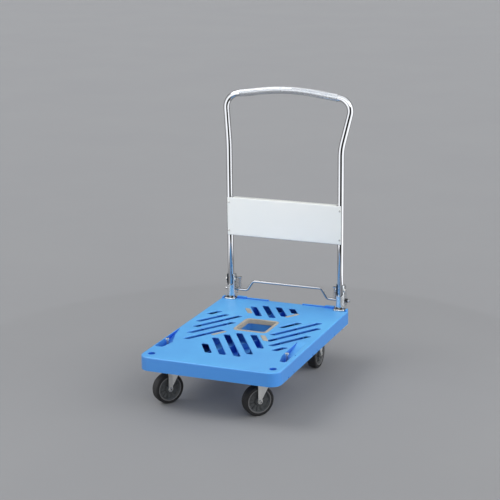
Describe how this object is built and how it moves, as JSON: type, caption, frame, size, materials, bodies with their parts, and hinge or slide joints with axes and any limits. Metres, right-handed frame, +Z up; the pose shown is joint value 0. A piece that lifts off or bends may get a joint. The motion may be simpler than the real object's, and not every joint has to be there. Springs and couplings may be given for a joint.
{
  "type": "folding platform cart",
  "caption": "Low plastic platform on casters with a tube handle that folds flat over the slotted deck, locked by a foot bar.",
  "frame": {"origin": "on the floor under the middle of the whole cart's box, handle upright", "axes": "+Z up, +Y towards the handle at the rear, +X to the right seen from the front"},
  "size_m": [0.48, 0.745, 0.9483],
  "materials": {
    "deck_plastic": "blue injection-moulded polypropylene with a fine grained surface",
    "grip_rubber": "warm grey soft elastomer",
    "zinc_steel": "bright zinc plated fasteners and pins",
    "chrome": "polished chrome plated steel tube and rod",
    "black_plastic": "black nylon",
    "clear_sleeve": "clear soft vinyl sleeve",
    "panel_paint": "pale silver-grey paint on sheet steel",
    "bright_zinc": "bright plated pressed steel",
    "spring_steel": "zinc plated spring wire",
    "caster_zinc": "bright zinc plated pressed steel",
    "hub_plastic": "dark grey nylon",
    "tyre_rubber": "black solid rubber"
  },
  "bodies": {
    "cart": {"axle_nut_rear_left": "zinc_steel", "axle_nut_rear_right": "zinc_steel", "axle_rear_left": "zinc_steel", "axle_rear_right": "zinc_steel", "axle_sleeve_rear_left": "zinc_steel", "axle_sleeve_rear_right": "zinc_steel", "backing_plate_left": "bright_zinc", "backing_plate_right": "bright_zinc", "bracket_bolts": "zinc_steel", "bracket_nuts": "zinc_steel", "caster_bolts": "zinc_steel", "caster_plate_front_left": "caster_zinc", "caster_plate_front_right": "caster_zinc", "deck": "deck_plastic", "fork_rear_left": "caster_zinc", "fork_rear_right": "caster_zinc", "grip_strips": "grip_rubber", "hand_hole_rim": "grip_rubber", "handle_bracket_left": "bright_zinc", "handle_bracket_right": "bright_zinc", "kingpin_front_left": "zinc_steel", "kingpin_front_right": "zinc_steel", "pivot_pin_left": "zinc_steel", "pivot_pin_right": "zinc_steel", "return_spring_left": "spring_steel", "return_spring_right": "spring_steel", "rope_pins": "zinc_steel"},
    "handle": {"handle_tube": "chrome", "tube_plugs": "black_plastic", "grip_sleeve": "clear_sleeve", "handle_panel": "panel_paint", "panel_screws": "zinc_steel"},
    "lock_bar": {"lock_bar": "chrome", "lock_bar_rings": "black_plastic"},
    "wheel_front_left": {"wheel_hub_front_left": "hub_plastic", "tyre_front_left": "tyre_rubber"},
    "wheel_front_right": {"wheel_hub_front_right": "hub_plastic", "tyre_front_right": "tyre_rubber"},
    "wheel_rear_left": {"wheel_hub_rear_left": "hub_plastic", "tyre_rear_left": "tyre_rubber"},
    "wheel_rear_right": {"wheel_hub_rear_right": "hub_plastic", "tyre_rear_right": "tyre_rubber"},
    "swivel_front_left": {"fork_front_left": "caster_zinc", "axle_front_left": "zinc_steel", "axle_nut_front_left": "zinc_steel", "axle_sleeve_front_left": "zinc_steel"},
    "swivel_front_right": {"fork_front_right": "caster_zinc", "axle_front_right": "zinc_steel", "axle_nut_front_right": "zinc_steel", "axle_sleeve_front_right": "zinc_steel"}
  },
  "joints": [
    {"name": "handle_fold", "type": "hinge", "parent": "cart", "child": "handle", "pos_m": [0.207, 0.3165, 0.25], "axis": [1, 0, 0], "range_deg": [0, 90]},
    {"name": "lock_press", "type": "slide", "parent": "cart", "child": "lock_bar", "axis": [0, 0, -1], "range_m": [0, 0.014], "stiffness_N_per_m": 500, "springref_m": -0.02, "deforming": ["return_spring_left", "return_spring_right"]},
    {"name": "swivel_front_left", "type": "hinge", "parent": "cart", "child": "swivel_front_left", "pos_m": [-0.158, -0.2595, 0.12], "axis": [0, 0, 1], "continuous": true},
    {"name": "spin_front_left", "type": "hinge", "parent": "swivel_front_left", "child": "wheel_front_left", "pos_m": [-0.17681, -0.28539, 0.051], "axis": [0.809, -0.5878, 0], "continuous": true},
    {"name": "spin_rear_left", "type": "hinge", "parent": "cart", "child": "wheel_rear_left", "pos_m": [-0.158, 0.2005, 0.051], "axis": [1, 0, 0], "continuous": true},
    {"name": "swivel_front_right", "type": "hinge", "parent": "cart", "child": "swivel_front_right", "pos_m": [0.158, -0.2595, 0.12], "axis": [0, 0, 1], "continuous": true},
    {"name": "spin_front_right", "type": "hinge", "parent": "swivel_front_right", "child": "wheel_front_right", "pos_m": [0.13659, -0.28328, 0.051], "axis": [0.7431, -0.6691, 0], "continuous": true},
    {"name": "spin_rear_right", "type": "hinge", "parent": "cart", "child": "wheel_rear_right", "pos_m": [0.158, 0.2005, 0.051], "axis": [1, 0, 0], "continuous": true}
  ]
}
